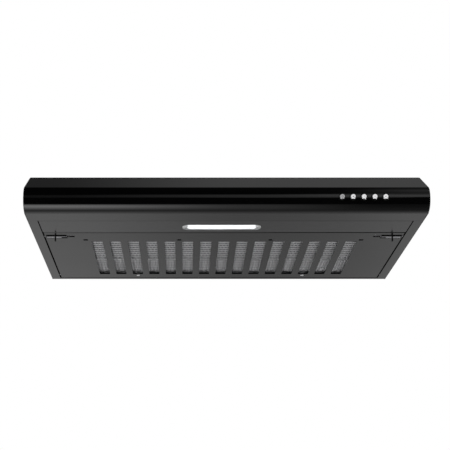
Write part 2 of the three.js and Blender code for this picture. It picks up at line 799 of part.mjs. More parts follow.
function capacitorClip() {
  const { y, z, radius } = CAPACITOR;
  const inner = radius + GAP;
  const top = -SHEET - 0.5;
  const line = [
    [y - inner - 8, top], [y - inner, top], ...arc([y, z], inner, 180, 360, 12),
    [y + inner, top], [y + inner + 8, top],
  ];
  return alongX([...offset(line, -SHEET), ...line.reverse()], 115, 129);
}

function ledDriver() {
  const outline = roundedRectangle([140, 77], 60, 34, 3, 3);
  return upwards(outline, -24, -2);
}

const MOTOR_LEAD = [
  [-12.6, 28.8, -5.5], [4, 38, -5.3], [40, 58, -5.2], [70, 82, -5.8], [87, 114, -10],
  [93, 150, -14], [100, 177, -14], [111.2, 180, -14],
];
const LAMP_LEAD = [
  [109.3, 77, -13], [99, 76.5, -13], [90, 54, -11], [88, 0, -9], [88, -50, -9], [76, -92, -12],
  [48, -120, -22], [22, -136, -36], [12, -139, -45], [10, -139, -53.3],
];
const SWITCH_LEAD = [
  [202, -212, -44.5], [202, -211.5, -38], [200, -201, -31], [194, -170, -18], [190, -110, -9],
  [186, -30, -7], [182, 40, -8], [180, 90, -9], [172, 125, -11], [162, 148, -14],
  [160, 159.2, -15],
];

// ---- The assembly ----

const hood = new THREE.Group();
hood.name = "cooker_hood";

function add(name, solid, finish, place = [0, 0, 0], parent = hood) {
  const mesh = new THREE.Mesh(toGeometry(solid), new THREE.MeshStandardMaterial(FINISHES[finish]));
  mesh.name = name;
  mesh.position.set(...place);
  parent.add(mesh);
  return mesh;
}

add("top_shell", topShell(), "paint");
add("front_fascia", frontFascia(), "paint");
add("light_panel", lightPanel(), "paint");
add("light_lens", lightLens(), "clear");
add("light_diffuser", lightDiffuser(), "whitePlastic");
add("light_housing", lightHousing(), "whitePlastic");
add("led_board", ledBoard(), "board");

add("grille_panel", grillePanel(), "paint");
add("filter_pad", filterPad(), "aluminium");
add("filter_frame", filterFrame(), "aluminium");
const rodZ = FILTER_LOW - GAP - ROD_RADIUS;
add("filter_rod", bar("x", ROD_RADIUS, -226, 226, [0, ROD_Y, rodZ], 12), "zinc");

for (const [side, name] of [[-1, "left"], [1, "right"]]) {
  add(`side_panel_${name}`, sidePanel(side), "paint");
  const screwPlace = [lampScrewX(side), LAMP_Y, LAMP_SCREW_SEAT - GAP - 1.5];
  add(`light_screw_${name}`, panScrew(LAMP_SCREW_HEAD, 1.5, 1.2, 13.4), "chrome", screwPlace);
  add(`filter_clip_${name}`, filterClip(slotX(CLIP_SLOTS[side > 0 ? 1 : 0])), "zinc");
  add(`latch_bolt_${name}`, latchBolt(side), "zinc");
  add(`latch_tab_${name}`, latchTab(side), "blackPlastic");
  add(`latch_guide_${name}`, latchGuide(side), "zinc");
  const spring = [side > 0 ? 231.2 : -247.8, LATCH_Y, LATCH_STEM_Z];
  add(`latch_spring_${name}`, latchSpring(), "zinc", spring);
  add(`hinge_pin_${name}`, hingePin(side), "zinc");
  add(`hinge_bracket_${name}`, hingeBracket(side), "zinc");
}

const blower = new THREE.Group();
blower.position.set(IMPELLER_X, IMPELLER_Y, 0);
hood.add(blower);
add("motor_body", motorBody(), "zinc", [0, 0, 0], blower);
add("motor_shaft", motorShaft(), "zinc", [0, 0, 0], blower);
add("impeller", impeller(), "blackPlastic", [0, 0, 0], blower);
add("impeller_nut", impellerNut(), "zinc", [0, 0, 0], blower);
add("blower_housing", blowerHousing(), "greyPlastic");
add("inlet_plate", inletPlate(), "greyPlastic");

const outlet = new THREE.Group();
outlet.position.set(0, DUCT_Y, 0);
hood.add(outlet);
add("duct_collar", ductCollar(), "blackPlastic", [0, 0, 0], outlet);
add("flap_pin", flapPin(), "zinc", [0, 0, FLAP_PIN_Z], outlet);
add("flap_left", flap(-1), "blackPlastic", [0, 0, FLAP_PIN_Z], outlet);
add("flap_right", flap(1), "blackPlastic", [0, 0, FLAP_PIN_Z], outlet);

BUTTON_NAMES.forEach((name, i) => {
  add(name, button(), "chrome", [buttonX(i), NOSE - BUTTON_PROUD, BUTTON_Z]);
});
add("switch_block", switchBlock(), "blackPlastic");
add("switch_bracket", switchBracket(), "zinc");

add("terminal_box", terminalBox(), "blackPlastic");
add("terminal_lid", terminalLid(), "blackPlastic");
add("terminal_block", terminalBlock(), "whitePlastic");
add("cable_gland", cableGland(), "blackPlastic", [GLAND_X, GLAND_Y, 0]);
add("capacitor", capacitor(), "whitePlastic");
add("capacitor_clip", capacitorClip(), "zinc");
add("led_driver", ledDriver(), "whitePlastic");
add("motor_lead", wire(MOTOR_LEAD, 3.6, 18), "wire");
add("lamp_lead", wire(LAMP_LEAD, 3.6, 28), "wire");
add("switch_lead", wire(SWITCH_LEAD, 4.4, 34), "wire");

export default hood;
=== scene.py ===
# An under-cabinet cooker hood, dressed around its fixed frame: black painted sheet steel, a slotted
# grille over an aluminium grease filter, a strip lamp, five bright push buttons, and the blower inside.
import json
import math

import bmesh
import bpy
from mathutils import Matrix, Vector


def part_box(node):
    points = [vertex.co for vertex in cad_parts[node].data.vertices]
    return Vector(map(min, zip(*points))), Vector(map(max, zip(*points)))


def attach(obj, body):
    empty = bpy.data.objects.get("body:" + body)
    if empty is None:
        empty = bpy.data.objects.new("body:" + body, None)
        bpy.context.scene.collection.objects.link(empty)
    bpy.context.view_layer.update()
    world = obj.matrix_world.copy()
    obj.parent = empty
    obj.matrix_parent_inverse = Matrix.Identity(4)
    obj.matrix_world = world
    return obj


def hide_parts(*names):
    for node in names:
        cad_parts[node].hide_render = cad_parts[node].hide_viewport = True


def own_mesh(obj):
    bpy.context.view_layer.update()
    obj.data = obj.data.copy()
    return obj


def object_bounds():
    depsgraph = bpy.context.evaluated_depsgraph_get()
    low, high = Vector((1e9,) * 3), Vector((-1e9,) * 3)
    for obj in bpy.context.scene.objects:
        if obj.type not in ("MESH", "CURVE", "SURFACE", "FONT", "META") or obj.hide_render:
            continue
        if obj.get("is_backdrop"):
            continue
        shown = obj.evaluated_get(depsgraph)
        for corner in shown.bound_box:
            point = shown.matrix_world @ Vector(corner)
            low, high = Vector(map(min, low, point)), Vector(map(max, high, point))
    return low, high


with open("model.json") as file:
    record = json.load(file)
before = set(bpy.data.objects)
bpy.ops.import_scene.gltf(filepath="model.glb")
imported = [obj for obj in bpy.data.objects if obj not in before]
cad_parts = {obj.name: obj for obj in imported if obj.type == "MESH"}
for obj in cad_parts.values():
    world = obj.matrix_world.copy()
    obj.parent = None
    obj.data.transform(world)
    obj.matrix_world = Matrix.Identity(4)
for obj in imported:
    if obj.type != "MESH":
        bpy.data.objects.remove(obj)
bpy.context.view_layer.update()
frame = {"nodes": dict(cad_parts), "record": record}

MM = 0.001


# ---- The studio ----
# The hood hangs in a white room. The surfaces see soft boxes: a strip in front, a wide glow from
# below, and a dim sweep behind and above. The floor is a plain pale sheet well below the hood.

class Value:
    """An output of a node, on which sums are written as plain expressions."""

    def __init__(self, nodes, socket):
        self.nodes = nodes
        self.socket = socket

    def sum(self, operation, first, second=0.0):
        return self.nodes.add("ShaderNodeMath", {"operation": operation}, {0: first, 1: second})

    def apply(self, operation):
        return self.sum(operation, self)

    def __add__(self, other):
        return self.sum("ADD", self, other)

    def __radd__(self, other):
        return self.sum("ADD", other, self)

    def __sub__(self, other):
        return self.sum("SUBTRACT", self, other)

    def __rsub__(self, other):
        return self.sum("SUBTRACT", other, self)

    def __mul__(self, other):
        return self.sum("MULTIPLY", self, other)

    def __rmul__(self, other):
        return self.sum("MULTIPLY", other, self)

    def __truediv__(self, other):
        return self.sum("DIVIDE", self, other)

    def between(self, low, high):
        """0 below the first limit, 1 above the second, and a smooth step from one to the other."""
        settings = {"interpolation_type": "SMOOTHSTEP"}
        sockets = {"Value": self, "From Min": low, "From Max": high}
        return self.nodes.add("ShaderNodeMapRange", settings, sockets)


class Nodes:
    """A node tree, written down one node at a time."""

    def __init__(self, tree):
        self.tree = tree

    def add(self, kind, settings=None, sockets=None, out=0):
        node = self.tree.nodes.new(kind)
        for name, value in (settings or {}).items():
            if name == "stops":
                self.set_stops(node.color_ramp, value)
            else:
                setattr(node, name, value)
        for key, value in (sockets or {}).items():
            self.feed(node.inputs[key], value)
        return Value(self, node.outputs[out]) if node.outputs else None

    def feed(self, socket, value):
        if isinstance(value, Value):
            self.tree.links.new(value.socket, socket)
        else:
            socket.default_value = value

    def set_stops(self, ramp, stops):
        while len(ramp.elements) < len(stops):
            ramp.elements.new(1.0)
        for element, (place, level) in zip(ramp.elements, stops):
            element.position = place
            element.color = (level, level, level, 1.0)

    def mix(self, factor, first, second):
        """A colour between two colours."""
        sockets = {"Factor": factor, "A": (*first, 1.0), "B": (*second, 1.0)}
        return self.add("ShaderNodeMix", {"data_type": "RGBA"}, sockets, "Result")

    def noise(self, place, scale, detail=2.0):
        sockets = {"Vector": place, "Scale": scale, "Detail": detail}
        return self.add("ShaderNodeTexNoise", {}, sockets, "Fac")

    def relief(self, strength, distance, height):
        sockets = {"Strength": strength, "Distance": distance, "Height": height}
        return self.add("ShaderNodeBump", {}, sockets, "Normal")

    def split(self, vector):
        node = self.add("ShaderNodeSeparateXYZ", {}, {"Vector": vector}).socket.node
        return [Value(self, output) for output in node.outputs]


def ring_of_light(nodes, angle, stops):
    """Light that depends on the angle from the front, downwards positive, in degrees."""
    places = [((degrees + 180.0) / 360.0, level) for degrees, level in stops]
    share = angle / (2 * math.pi) + 0.5
    return nodes.add("ShaderNodeValToRGB", {"stops": places}, {"Fac": share})


scene = bpy.context.scene
scene.view_settings.view_transform = "Standard"
world = bpy.data.worlds.new("studio")
scene.world = world
world.use_nodes = True
world.node_tree.nodes.clear()
room = Nodes(world.node_tree)
toward = room.add("ShaderNodeTexCoord", {}, {}, "Generated")
across, along, upright = room.split(toward)
around = upright.sum("ARCTAN2", 0.0 - upright, 0.0 - along)
left = ring_of_light(room, around, [
    (-180, 0.33), (-150, 0.05), (-142, 0.036), (-134, 0.01), (-118, 0.0), (-26, 0.0), (-21, 0.1),
    (-9, 0.1), (-4, 0.0), (53, 0.0), (59, 1.1), (65, 2.3), (73, 3.1), (84, 2.9), (92, 2.2),
    (100, 1.6), (110, 0.95), (120, 0.45), (130, 0.2), (145, 0.28), (165, 0.37), (180, 0.33),
])
middle = ring_of_light(room, around, [
    (-180, 0.3), (-150, 0.14), (-142, 0.13), (-134, 0.03), (-118, 0.01), (-31, 0.0), (-26, 0.38),
    (-12, 0.38), (-7, 0.0), (52, 0.0), (57, 0.28), (63, 0.46), (73, 0.53), (88, 0.5), (96, 0.46),
    (106, 0.36), (118, 0.22), (130, 0.13), (145, 0.18), (165, 0.2), (180, 0.19),
])
right = ring_of_light(room, around, [
    (-180, 0.3), (-150, 0.14), (-142, 0.14), (-134, 0.03), (-118, 0.01), (-35, 0.02), (-30, 0.85),
    (-14, 0.85), (-10, 0.0), (51, 0.0), (58, 0.06), (73, 0.07), (88, 0.09), (96, 0.11), (106, 0.12),
    (118, 0.1), (130, 0.12), (145, 0.2), (165, 0.25), (180, 0.25),
])
corner = ring_of_light(room, around, [
    (-118, 0.0), (-90, 0.15), (-73, 0.36), (-60, 0.28), (-52, 0.2), (-43, 0.3), (-34, 0.3),
    (-28, 0.0), (150, 0.0), (160, 0.07), (170, 0.07), (180, 0.0),
])
sides = ring_of_light(room, around, [
    (-180, 0.45), (-90, 0.85), (-40, 0.4), (0, 0.2), (35, 0.8), (65, 3.8), (120, 3.8), (150, 1.2),
    (180, 0.45),
])
to_middle = across.between(-0.104, 0.05)
to_right = across.between(0.05, 0.14)
ahead = left + (middle - left) * to_middle + (right - middle) * to_right
ahead = ahead + corner * across.between(0.11, 0.17)
outwards = across.apply("ABSOLUTE")
sideways = outwards.between(0.3, 0.55)
endways = outwards.between(0.7, 0.95)
beside = sides * (1.0 - endways) + 0.55 * endways
level = ahead * (1.0 - sideways) + beside * sideways
seen = room.add("ShaderNodeLightPath", {}, {}, "Is Camera Ray")
white = (1.0, 1.0, 1.0, 1.0)
glow = room.add("ShaderNodeBackground", {}, {"Color": white, "Strength": level})
plain = room.add("ShaderNodeBackground", {}, {"Color": white, "Strength": 1.0})
both = room.add("ShaderNodeMixShader", {}, {0: seen, 1: glow, 2: plain})
room.add("ShaderNodeOutputWorld", {}, {"Surface": both})

FLOOR_DROP = 3.6
FLOOR_HALF = 4.0


def mesh_piece(name, bm):
    """A new object from a bmesh, at the origin, with every face pointing outwards."""
    bmesh.ops.recalc_face_normals(bm, faces=bm.faces)
    data = bpy.data.meshes.new(name)
    bm.to_mesh(data)
    bm.free()
    made = bpy.data.objects.new(name, data)
    scene.collection.objects.link(made)
    return made


def surface(name, fixed):
    """A material, its nodes, its shader and the places on the piece, in metres."""
    made = bpy.data.materials.new(name)
    made.use_nodes = True
    nodes = Nodes(made.node_tree)
    shader = made.node_tree.nodes["Principled BSDF"]
    for key, value in fixed.items():
        shader.inputs[key].default_value = value
    place = nodes.add("ShaderNodeTexCoord", {}, {}, "Object")
    return made, nodes, shader, place


def floor_finish():
    made, nodes, shader, place = surface("pale_floor", {"Roughness": 0.8})
    shade = nodes.mix(nodes.noise(place, 3.0), (0.86, 0.86, 0.86), (0.9, 0.9, 0.9))
    nodes.feed(shader.inputs["Base Color"], shade)
    return made


floor_mesh = bmesh.new()
bmesh.ops.create_grid(
    floor_mesh, x_segments=1, y_segments=1, size=FLOOR_HALF,
    matrix=Matrix.Translation((0, 0, -FLOOR_DROP)),
)
floor = mesh_piece("floor", floor_mesh)
floor.data.materials.append(floor_finish())
floor.visible_glossy = False
floor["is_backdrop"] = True

camera_data = bpy.data.cameras.new("camera")
camera_data.lens = 110.78
camera_data.shift_x = 0.0913
camera = bpy.data.objects.new("camera", camera_data)
scene.collection.objects.link(camera)
camera.location = (-0.0631, -2.2044, -0.6030)
LOOKING_UP = 14.45
camera.rotation_euler = (math.radians(90 + LOOKING_UP), 0, 0)
scene.camera = camera


# ---- The painted sheet steel ----
# Folded 1 mm steel with a smooth black coat baked on: a glossy skin with the faint ripple of sprayed
# paint. Each sheet has small bends and broken edges; the sheets are spot-welded to one another.

def grey(level, blue=None):
    """A grey, with a blue of its own where one is given."""
    return (level, level, level if blue is None else blue)


def paint(name, roughness, level, gloss=0.5):
    fixed = {"Metallic": 0.0, "IOR": 1.5, "Specular IOR Level": gloss}
    made, nodes, shader, place = surface(name, fixed)
    ripple = nodes.noise(place, 420.0, 1.0)
    haze = nodes.noise(place, 9.0, 3.0)
    speck = nodes.noise(place, 2600.0, 0.0)
    tone = nodes.mix(haze, grey(level * 0.85, level * 0.9), grey(level * 1.15, level * 1.2))
    nodes.feed(shader.inputs["Base Color"], tone)
    nodes.feed(shader.inputs["Roughness"], roughness - 0.03 + 0.06 * haze)
    relief = nodes.relief(0.25, 0.04 * MM, ripple + 0.25 * speck)
    nodes.feed(shader.inputs["Normal"], relief)
    return made


def body_of(node):
    bodies = frame["record"]["behaviour"]["bodies"]
    return next(body for body, members in bodies.items() if node in members)


def slot_of(node):
    return next(s["material_slot"] for s in frame["record"]["subparts"] if s["node"] == node)


SAME_SPOT = 0.003 * MM


def clean_copy(node):
    """A CAD node's mesh with its shared corners merged and its flat faces made whole."""
    bm = bmesh.new()
    bm.from_mesh(frame["nodes"][node].data)
    bmesh.ops.remove_doubles(bm, verts=bm.verts, dist=SAME_SPOT)
    bmesh.ops.dissolve_limit(
        bm, angle_limit=math.radians(0.4), verts=bm.verts, edges=bm.edges, delimit={"NORMAL"}
    )
    return bm


def smooth(piece, sharp_over=None):
    """Shades a piece smooth, apart from the edges that turn by more than some degrees."""
    piece.data.polygons.foreach_set("use_smooth", [True] * len(piece.data.polygons))
    if sharp_over:
        piece.data.set_sharp_from_angle(angle=math.radians(sharp_over))


def break_edges(piece, width, segments=2):
    """Rounds the sharp edges a little and shades the rest smooth."""
    smooth(piece)
    bevel = piece.modifiers.new("broken_edges", "BEVEL")
    bevel.width = width
    bevel.segments = segments
    bevel.limit_method = "ANGLE"
    bevel.angle_limit = math.radians(28)
    bevel.use_clamp_overlap = True
    even = piece.modifiers.new("flat_faces_stay_flat", "WEIGHTED_NORMAL")
    even.mode = "FACE_AREA"
    even.weight = 100
    even.keep_sharp = False


def place_piece(piece, material, body, slot, *nodes):
    piece.data.materials.clear()
    piece.data.materials.append(material)
    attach(piece, body)
    if nodes:
        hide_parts(*nodes)
    return piece


def dress(node, material, edge=0.15 * MM, segments=2):
    """Shows a CAD node as a finished piece: the same shape with broken edges and its own finish."""
    piece = mesh_piece(f"{node}_made", clean_copy(node))
    break_edges(piece, edge, segments)
    return place_piece(piece, material, body_of(node), slot_of(node), node)


shell_paint = paint("black_paint_shell", 0.08, 0.003)
light_panel_paint = paint("black_paint_light_panel", 0.18, 0.016)
grille_paint = paint("black_paint_grille", 0.18, 0.004, 0.42)
for node in ("top_shell", "front_fascia", "side_panel_left", "side_panel_right"):
    dress(node, shell_paint, 0.3 * MM)
dress("light_panel", light_panel_paint, 0.2 * MM)
dress("grille_panel", grille_paint, 0.12 * MM)


# ---- Small steel fittings ----
# Hinge pins and brackets, latch bolts and guides, clips, the filter's support rod and the fan's shaft
# and nut: pressed or turned from mild steel and zinc-plated, which leaves a pale, faintly mottled skin.

def zinc_plate(name, level, roughness, metallic=1.0):
    made, nodes, shader, place = surface(name, {"Metallic": metallic})
    spangle = nodes.add("ShaderNodeTexVoronoi", {}, {"Vector": place, "Scale": 260.0}, "Color")
    grain = nodes.noise(place, 900.0)
    light, dark = level * 1.12, level * 0.85
    tone = nodes.mix(nodes.split(spangle)[0], grey(dark, dark * 1.02), grey(light, light * 1.02))
    nodes.feed(shader.inputs["Base Color"], tone)
    nodes.feed(shader.inputs["Roughness"], roughness + 0.12 * grain)
    nodes.feed(shader.inputs["Normal"], nodes.relief(0.2, 0.05 * MM, grain))
    return made


def bolt_with_painted_shade():
    """Bright plate, with painted shade along the edges that face the front."""
    made, nodes, shader, place = surface("bolt_steel", {"Metallic": 0.5, "Roughness": 0.42})
    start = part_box("latch_bolt_left")[0].y + 2.6 * MM
    along = nodes.split(place)[1]
    # The front 2.6 mm of the plate is painted near black: painted shade for the dark gap in front of
    # the bolt.
    tone = nodes.mix(along.between(start, start + 0.3 * MM), grey(0.002), (0.42, 0.42, 0.44))
    nodes.feed(shader.inputs["Base Color"], tone)
    return made


zinc = zinc_plate("zinc_plate", 0.62, 0.3)
clip_steel = zinc_plate("clip_steel", 0.86, 0.4, 0.4)
bolt_steel = bolt_with_painted_shade()
for side in ("left", "right"):
    dress(f"hinge_pin_{side}", zinc, 0.25 * MM)
    dress(f"hinge_bracket_{side}", zinc, 0.15 * MM)
    dress(f"latch_bolt_{side}", bolt_steel, 0.12 * MM)
    dress(f"latch_guide_{side}", zinc, 0.12 * MM)
    dress(f"filter_clip_{side}", clip_steel, 0.45 * MM, 3)
for node in ("switch_bracket", "capacitor_clip", "motor_shaft", "impeller_nut", "flap_pin"):
    dress(node, zinc, 0.15 * MM)


# ---- Springs ----
# Each latch stem carries a small compression spring of hard-drawn wire, ground flat at its ends.

def tube(name, points, radius, sides=10):
    """A round bar along a line of points, with flat ends."""
    bm = bmesh.new()
    rings = []
    side = None
    for i, point in enumerate(points):
        ahead = points[min(i + 1, len(points) - 1)] - points[max(i - 1, 0)]
        ahead.normalize()
        if side is None:
            side = ahead.orthogonal().normalized()
        side = (side - ahead * side.dot(ahead)).normalized()
        other = ahead.cross(side)
        ring = []
        for k in range(sides):
            turn = 2 * math.pi * k / sides
            spoke = side * math.cos(turn) + other * math.sin(turn)
            ring.append(bm.verts.new(point + spoke * radius))
        rings.append(ring)
    for one, two in zip(rings, rings[1:]):
        for k in range(sides):
            bm.faces.new([one[k], one[k - 1], two[k - 1], two[k]])
    bm.faces.new(rings[0])
    bm.faces.new(rings[-1][::-1])
    made = mesh_piece(name, bm)
    smooth(made, 50)
    return made


SPRING_COILS = 6.5
SPRING_WIRE = 0.3 * MM
SPRING_STEPS = 150
spring_steel = zinc_plate("spring_steel", 0.5, 0.22)
for side, way in (("left", -1), ("right", 1)):
    node = f"latch_spring_{side}"
    low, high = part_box(node)
    middle = (low + high) / 2
    radius = (high.z - low.z) / 2 - SPRING_WIRE
    reach = (high.x - low.x) / 2 - SPRING_WIRE
    line = []
    for i in range(SPRING_STEPS + 1):
        share = i / SPRING_STEPS
        eased = share - 0.055 * math.sin(4 * math.pi * share)
        turn = 2 * math.pi * SPRING_COILS * share
        spot = Vector((reach * (2 * eased - 1), radius * math.cos(turn), radius * math.sin(turn)))
        line.append(middle + spot)
    coil = tube(f"{node}_coil", line, SPRING_WIRE, 8)
    place_piece(coil, spring_steel, "grille", "zinc_steel", node)
    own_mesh(coil)


# ---- Black and grey plastic mouldings ----
# The duct collar, its flaps, the fan wheel, the wiring box and the switch body are injection moulded
# in black; the scroll and its cover are grey. All have the fine spark-eroded grain of a matt mould.

def moulding(name, colour, roughness=0.5):
    made, nodes, shader, place = surface(name, {"Metallic": 0.0, "IOR": 1.46})
    grain = nodes.noise(place, 1500.0)
    flow = nodes.noise(place, 14.0)
    tone = nodes.mix(flow, [c * 0.88 for c in colour], [c * 1.1 for c in colour])
    nodes.feed(shader.inputs["Base Color"], tone)
    nodes.feed(shader.inputs["Roughness"], roughness - 0.05 + 0.1 * flow)
    nodes.feed(shader.inputs["Normal"], nodes.relief(0.3, 0.06 * MM, grain))
    return made


black_plastic = moulding("black_moulding", (0.014, 0.014, 0.015), 0.42)
grey_plastic = moulding("grey_moulding", (0.2, 0.205, 0.21), 0.5)
for node in ("duct_collar", "flap_left", "flap_right", "terminal_box", "terminal_lid"):
    dress(node, black_plastic, 0.3 * MM)
for node in ("cable_gland", "switch_block"):
    dress(node, black_plastic, 0.2 * MM)
tab_plastic = moulding("tab_moulding", grey(0.003), 0.6)
for side in ("left", "right"):
    dress(f"latch_tab_{side}", tab_plastic, 0.1 * MM)
for node in ("blower_housing", "inlet_plate"):
    dress(node, grey_plastic, 0.3 * MM)


# ---- The lamp ----
# A white reflector tray with a strip of small LEDs under an opal bar, behind a clear moulded lens with
# a screw at each end. The lamp is on.

def clear_lens():
    fixed = {"Roughness": 0.06, "IOR": 1.49, "Base Color": (0.92, 0.94, 0.95, 1.0)}
    made, nodes, shader, place = surface("clear_lens", fixed)
    rim = nodes.add("ShaderNodeLayerWeight", {}, {"Blend": 0.35}, "Facing")
    nodes.feed(shader.inputs["Alpha"], 0.16 + 0.3 * rim)
    return made


def glowing(name, colour, strength):
    fixed = {"Base Color": (*colour, 1.0), "Roughness": 0.4, "Emission Strength": strength}
    made, nodes, shader, place = surface(name, fixed)
    tint = nodes.mix(nodes.noise(place, 60.0), [c * 0.96 for c in colour], colour)
    nodes.feed(shader.inputs["Emission Color"], tint)
    return made


white_plastic = moulding("white_moulding", (0.78, 0.78, 0.76), 0.4)
dress("light_lens", clear_lens(), 0.4 * MM, 3)
dress("light_diffuser", glowing("opal_bar", (0.97, 0.98, 1.0), 1.15), 0.3 * MM)
dress("light_housing", white_plastic, 0.25 * MM)
dress("led_board", moulding("lamp_board", (0.86, 0.86, 0.84), 0.35), 0.1 * MM)


def placed_copies(name, source, spots, material):
    """Copies of one small piece, one on each spot and stood up along the spot's direction."""
    carrier = bpy.data.meshes.new(name)
    carrier.from_pydata([spot for spot, _ in spots], [], [])
    facing = carrier.attributes.new("facing", "FLOAT_VECTOR", "POINT")
    facing.data.foreach_set("vector", [c for _, way in spots for c in way])
    made = bpy.data.objects.new(name, carrier)
    scene.collection.objects.link(made)

    tree = bpy.data.node_groups.new(name, "GeometryNodeTree")
    tree.interface.new_socket("Geometry", in_out="INPUT", socket_type="NodeSocketGeometry")
    part = tree.interface.new_socket("Part", in_out="INPUT", socket_type="NodeSocketObject")
    coat = tree.interface.new_socket("Finish", in_out="INPUT", socket_type="NodeSocketMaterial")
    tree.interface.new_socket("Geometry", in_out="OUTPUT", socket_type="NodeSocketGeometry")
    nodes = Nodes(tree)
    entry = tree.nodes.new("NodeGroupInput")
    points, chosen, finish = [Value(nodes, entry.outputs[i]) for i in range(3)]
    shape = nodes.add("GeometryNodeObjectInfo", {}, {"Object": chosen}, "Geometry")
    way = nodes.add(
        "GeometryNodeInputNamedAttribute", {"data_type": "FLOAT_VECTOR"}, {"Name": "facing"}
    )
    stand = nodes.add("FunctionNodeAlignRotationToVector", {"axis": "Z"}, {"Vector": way})
    placed = nodes.add(
        "GeometryNodeInstanceOnPoints",
        {},
        {"Points": points, "Instance": shape, "Rotation": stand},
    )
    real = nodes.add("GeometryNodeRealizeInstances", {}, {"Geometry": placed})
    coated = nodes.add("GeometryNodeSetMaterial", {}, {"Geometry": real, "Material": finish})
    leave = tree.nodes.new("NodeGroupOutput")
    nodes.feed(leave.inputs[0], coated)

    step = made.modifiers.new("placed", "NODES")
    step.node_group = tree
    step[part.identifier] = source
    step[coat.identifier] = material
    return plain_mesh(made)


def plain_mesh(made):
    """The object with its modifiers worked out and taken off."""
    graph = bpy.context.evaluated_depsgraph_get()
    result = bpy.data.meshes.new_from_object(made.evaluated_get(graph))
    made.modifiers.clear()
    made.data = result
    return made


def turned_part(name, profile, sides=20):
    """A part turned round Z from a line of (radius, height) points that starts and ends on the axis."""
    bm = bmesh.new()
    rings = []
    for radius, height in profile:
        if radius == 0:
            rings.append([bm.verts.new((0, 0, height))] * sides)
            continue
        turns = [2 * math.pi * k / sides for k in range(sides)]
        spots = [(radius * math.cos(t), radius * math.sin(t), height) for t in turns]
        rings.append([bm.verts.new(spot) for spot in spots])
    for one, two in zip(rings, rings[1:]):
        for k in range(sides):
            corners = list(dict.fromkeys([one[k - 1], one[k], two[k], two[k - 1]]))
            if len(corners) > 2:
                bm.faces.new(corners)
    return mesh_piece(name, bm)


def screw_head(name, radius, height):
    """A pan head with a cross recess, its seat at the origin."""
    dome = [(radius * math.cos(a), height * math.sin(a)) for a in (0, 0.35, 0.75, 1.1)]
    profile = [(0, -0.4 * MM), (radius, -0.4 * MM)] + dome + [(0.0, height)]
    head = turned_part(name, profile)
    cross = bmesh.new()
    slot = Matrix.Diagonal((radius * 1.1, radius * 0.24, height, 1))
    lift = Matrix.Translation((0, 0, height * 1.05))
    for turn in (0, math.pi / 2):
        matrix = lift @ Matrix.Rotation(turn, 4, "Z") @ slot
        bmesh.ops.create_cube(cross, size=1.0, matrix=matrix)
    cutter = mesh_piece(f"{name}_recess", cross)
    cut = head.modifiers.new("recess", "BOOLEAN")
    cut.object = cutter
    cut.solver = "EXACT"
    cut.use_self = True
    plain_mesh(head)
    bpy.data.objects.remove(cutter)
    smooth(head, 35)
    return head


CHIPS = 14
CHIP_REACH = 1.9 * MM
CHIP_HIGH = 0.7 * MM
board_low, board_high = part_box("led_board")
chip_spots = []
for i in range(CHIPS):
    x = board_low.x + (board_high.x - board_low.x) * (i + 0.5) / CHIPS
    chip_spots.append(((x, (board_low.y + board_high.y) / 2, board_low.z), (0, 0, -1)))
chip_profile = [(0, -0.1 * MM), (CHIP_REACH, -0.1 * MM), (CHIP_REACH, CHIP_HIGH), (0, CHIP_HIGH)]
chip = turned_part("chip", chip_profile, 4)
chip_light = glowing("led_chip", (1.0, 0.93, 0.7), 1.0)
chips = placed_copies("led_chips", chip, chip_spots, chip_light)
place_piece(chips, chips.data.materials[0], "canopy", "lamp_board")
bpy.data.objects.remove(chip)

LENS_SCREW_HIGH = 1.5 * MM
lamp_screws = []
for side in ("left", "right"):
    low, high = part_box(f"light_screw_{side}")
    middle = (low + high) / 2
    lamp_screws.append(((middle.x, middle.y, low.z + LENS_SCREW_HIGH), (0, 0, -1)))
lens_screw = screw_head("lens_screw", 2.5 * MM, LENS_SCREW_HIGH)
screws = placed_copies("lamp_screws", lens_screw, lamp_screws, zinc)
place_piece(screws, zinc, "canopy", "zinc_steel", "light_screw_left", "light_screw_right")
bpy.data.objects.remove(lens_screw)


# ---- The push buttons ----
# Five turned and polished caps that stand in a row on the nose, each with a dished face and a small
# sunk mark: a ring for the lamp, a dot for off, and one, two or three bars for the fan's speeds.

def button_metal(name, level):
    made, nodes, shader, place = surface(name, {"Metallic": 1.0})
    grain = nodes.noise(place, 1200.0)
    tone = nodes.mix(grain, grey(level * 0.95, level * 0.96), grey(level, level * 1.01))
    nodes.feed(shader.inputs["Base Color"], tone)
    nodes.feed(shader.inputs["Roughness"], 0.03 + 0.03 * grain)
    return made


LAID_ALONG_Y = Matrix.Rotation(-math.pi / 2, 4, "X")
MARK_DEEP = 0.12 * MM


def bar_mark(count):
    bm = bmesh.new()
    for i in range(count):
        shift = (i - (count - 1) / 2) * 0.9 * MM
        size = Matrix.Diagonal((0.4 * MM, MARK_DEEP, 2.0 * MM, 1.0))
        bmesh.ops.create_cube(bm, size=1.0, matrix=Matrix.Translation((shift, 0, 0)) @ size)
    return bm


def ring_round(bm, profile, sides, axes):
    """Adds a ring, turned round the Z of some axes from a profile that closes on itself."""
    rings = []
    for radius, height in profile:
        turns = [2 * math.pi * k / sides for k in range(sides)]
        spots = [Vector((radius * math.cos(t), radius * math.sin(t), height)) for t in turns]
        rings.append([bm.verts.new(axes @ spot) for spot in spots])
    for one, two in zip(rings, rings[1:] + rings[:1]):
        for k in range(sides):
            bm.faces.new([one[k - 1], one[k], two[k], two[k - 1]])


def ring_mark(outer, inner):
    bm = bmesh.new()
    half = MARK_DEEP / 2
    profile = [(outer, -half), (outer, half), (inner, half), (inner, -half)]
    ring_round(bm, profile, 24, LAID_ALONG_Y)
    return bm


